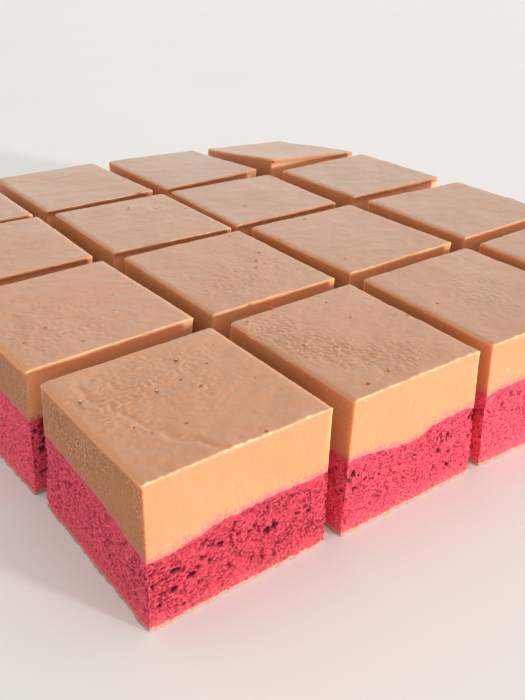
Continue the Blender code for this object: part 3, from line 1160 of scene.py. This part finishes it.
def bubble(name, place, radius):
    """One whole bubble: a low dome."""
    rings, spokes = 6, 20
    points = [(0.0, 0.0, 1.0)]
    polygons = []
    for ring in range(1, rings + 1):
        tilt = 0.5 * math.pi * ring / rings
        for spoke in range(spokes):
            turn = math.tau * spoke / spokes
            points.append((math.sin(tilt) * math.cos(turn), math.sin(tilt) * math.sin(turn), math.cos(tilt)))
    for spoke in range(spokes):
        after = (spoke + 1) % spokes
        polygons.append((0, 1 + spoke, 1 + after))
        for ring in range(rings - 1):
            near, far = 1 + ring * spokes, 1 + (ring + 1) * spokes
            polygons.append((near + spoke, far + spoke, far + after, near + after))
    last = 1 + (rings - 1) * spokes
    polygons.append(tuple(range(last + spokes - 1, last - 1, -1)))
    shape = np.array(points) * radius * (1.0, 1.0, 0.8) + place
    corners = np.array([corner for polygon in polygons for corner in polygon])
    sizes = np.array([len(polygon) for polygon in polygons])
    return make_mesh(name, shape, corners, sizes, {"rise": np.array(points)[:, 2]})


# The cake.


def dress(piece, material):
    """Gives a piece its material and the body that carries it."""
    piece.data.materials.append(material)
    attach(piece, "root")


def build_cake():
    """Both layers of every square, the crumbs and the bubbles."""
    sponge_food, mousse_food = sponge_material(), mousse_material()
    pits = scattered_pits()
    for square in SQUARES:
        label = f"{square[0]}_{square[1]}"
        sponge, mousse = solid(f"sponge_{label}"), solid(f"mousse_{label}")
        lines = corner_lines(sponge, mousse)
        seam = height_table(sponge, lines, SEAM_ABOUT)
        top = height_table(mousse, lines, TOP_ABOUT)
        piece = make_mesh(f"raspberry_sponge_{label}", *sponge_block(square, lines, seam))
        dress(piece, sponge_food)
        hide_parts(f"sponge_{label}")
        piece = make_mesh(f"chocolate_mousse_{label}", *mousse_block(square, lines, seam, top, pits))
        dress(piece, mousse_food)
        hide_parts(f"mousse_{label}")
    for number, (x, y, z, radius) in enumerate(CRUMBS, 1):
        dress(crumb(f"crumb_{number}", np.array((x, y, z)), radius, 200 + number), sponge_food)
    film = bubble_material()
    for number, (x, y, radius) in enumerate(BUBBLES, 1):
        dress(bubble(f"bubble_{number}", np.array((x, y, BUBBLE_HEIGHT)), radius), film)


# Floor, light and camera.

CAMERA_PLACE = (-0.15538, -0.20600, 0.13247)
CAMERA_YAW = 52.242
CAMERA_PITCH = -28.685
CAMERA_ROLL = 0.822
FOCAL_PIXELS = 813.2
FRAME_HEIGHT = 700.0
SENSOR = 36.0

FLOOR_REACH = 6.0
SKY_COLOUR = (1.0, 0.955, 0.89, 1.0)
SKY_STRENGTH = 0.88


def add_camera():
    """The camera that sees the cake as the photo does. The angles are in degrees."""
    yaw, pitch, roll = (math.radians(angle) for angle in (CAMERA_YAW, CAMERA_PITCH, CAMERA_ROLL))
    forward = Vector((math.cos(pitch) * math.cos(yaw), math.cos(pitch) * math.sin(yaw), math.sin(pitch)))
    right = forward.cross(Vector((0.0, 0.0, 1.0))).normalized()
    up = right.cross(forward)
    tilted_right = math.cos(roll) * right + math.sin(roll) * up
    tilted_up = math.cos(roll) * up - math.sin(roll) * right
    data = bpy.data.cameras.new("camera")
    data.sensor_fit = "AUTO"
    data.sensor_width = SENSOR
    data.lens = SENSOR * FOCAL_PIXELS / FRAME_HEIGHT
    data.clip_start = 0.01
    camera = bpy.data.objects.new("camera", data)
    turn = Matrix((tilted_right, tilted_up, -forward)).transposed()
    camera.matrix_world = Matrix.Translation(CAMERA_PLACE) @ turn.to_4x4()
    bpy.context.scene.collection.objects.link(camera)
    bpy.context.scene.camera = camera


def add_area_light(name, towards, distance, size, power, colour):
    """A square soft light that shines on the cake from a direction."""
    data = bpy.data.lights.new(name, "AREA")
    data.size = size
    data.energy = power
    data.color = colour
    light = bpy.data.objects.new(name, data)
    direction = Vector(towards).normalized()
    light.location = direction * distance
    light.rotation_euler = direction.to_track_quat("Z", "Y").to_euler()
    bpy.context.scene.collection.objects.link(light)


def add_floor():
    """A wide floor under the cake."""
    mesh = bpy.data.meshes.new("floor")
    reach = FLOOR_REACH
    mesh.from_pydata(
        [(-reach, -reach, 0.0), (reach, -reach, 0.0), (reach, reach, 0.0), (-reach, reach, 0.0)],
        [],
        [(0, 1, 2, 3)],
    )
    floor = bpy.data.objects.new("floor", mesh)
    floor.data.materials.append(floor_material())
    bpy.context.scene.collection.objects.link(floor)


def add_surroundings():
    """The floor, a low warm sun, a cool light from behind and a soft sky."""
    add_floor()
    add_area_light(
        "key_light",
        towards=(0.42, -0.91, 0.105),
        distance=4.0,
        size=0.4,
        power=230.0,
        colour=(1.0, 0.955, 0.90),
    )
    add_area_light(
        "back_light",
        towards=(0.585, 0.75, 0.31),
        distance=3.0,
        size=2.4,
        power=8.5,
        colour=(0.80, 0.93, 1.0),
    )
    world = bpy.data.worlds.new("soft_sky")
    world.use_nodes = True
    background = world.node_tree.nodes["Background"]
    background.inputs["Color"].default_value = SKY_COLOUR
    background.inputs["Strength"].default_value = SKY_STRENGTH
    bpy.context.scene.world = world
    bpy.context.scene.view_settings.view_transform = "Standard"


build_cake()
add_surroundings()
add_camera()
